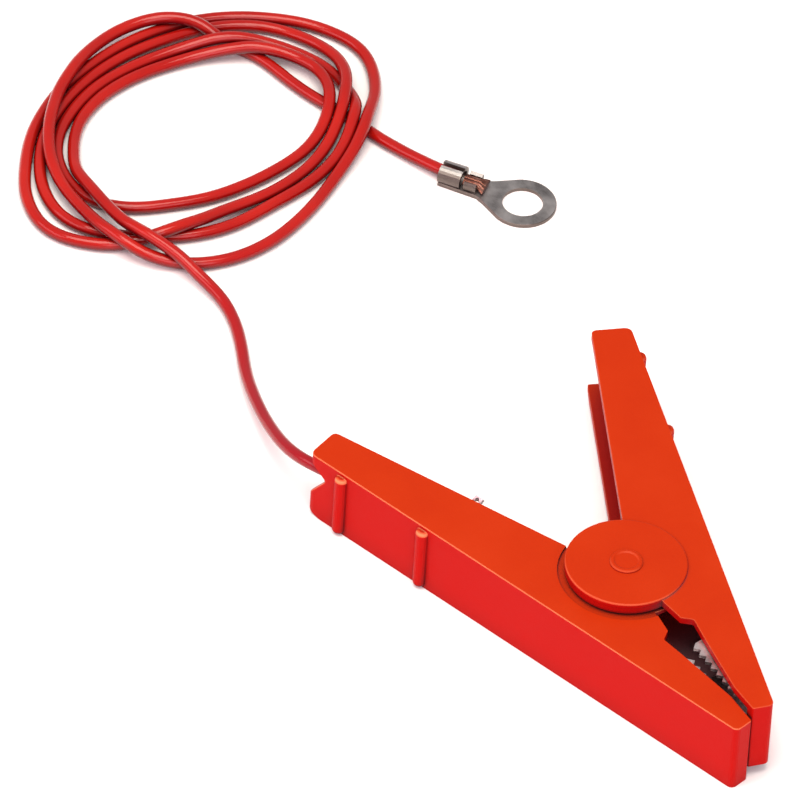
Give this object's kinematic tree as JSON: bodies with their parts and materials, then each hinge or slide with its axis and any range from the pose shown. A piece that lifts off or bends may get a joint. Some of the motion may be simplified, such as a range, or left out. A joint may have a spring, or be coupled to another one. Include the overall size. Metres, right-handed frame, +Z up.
{
  "type": "ground clamp",
  "caption": "Earth-lead crocodile clamp: red plastic channel halves on a sprung pivot, toothed metal jaw liners, and a thin lead coiled to a ring terminal.",
  "frame": {"origin": "on the pivot axis, at the flat bottom end of the pivot pin", "axes": "+X from the pivot towards the jaw tips, +Z up along the pivot pin, +Y towards the free half"},
  "size_m": [0.2458, 0.0927, 0.0193],
  "materials": {
    "cable_half_shell": "satin moulded plastic",
    "free_half_shell": "satin moulded plastic",
    "pivot_pin": "satin moulded plastic",
    "spring_bush": "natural nylon",
    "torsion_spring": "bright wire",
    "cable_jaw_liner": "galvanised sheet",
    "free_jaw_liner": "galvanised sheet",
    "lead_core": "bare copper strands",
    "cord_grip": "moulded plastic",
    "cord_lead": "soft PVC",
    "cord_coil": "soft PVC",
    "cord_tail": "soft PVC",
    "ring_terminal": "tinned",
    "terminal_strands": "bare copper strands"
  },
  "bodies": {
    "cable_half": {"cable_half_shell": "cable_half_shell", "pivot_pin": "pivot_pin", "spring_bush": "spring_bush", "torsion_spring": "torsion_spring", "cable_jaw_liner": "cable_jaw_liner", "lead_core": "lead_core", "cord_grip": "cord_grip", "cord_lead": "cord_lead", "cord_coil": "cord_coil", "cord_tail": "cord_tail", "ring_terminal": "ring_terminal", "terminal_strands": "terminal_strands"},
    "free_half": {"free_half_shell": "free_half_shell", "free_jaw_liner": "free_jaw_liner"}
  },
  "joints": [
    {"name": "jaw_pivot", "type": "hinge", "parent": "cable_half", "child": "free_half", "pos_m": [0, 0, 0], "axis": [0, 0, 1], "range_deg": [0, 42], "stiffness_Nm_per_rad": 0.6, "springref_deg": -68.75, "deforming": ["torsion_spring"]}
  ]
}
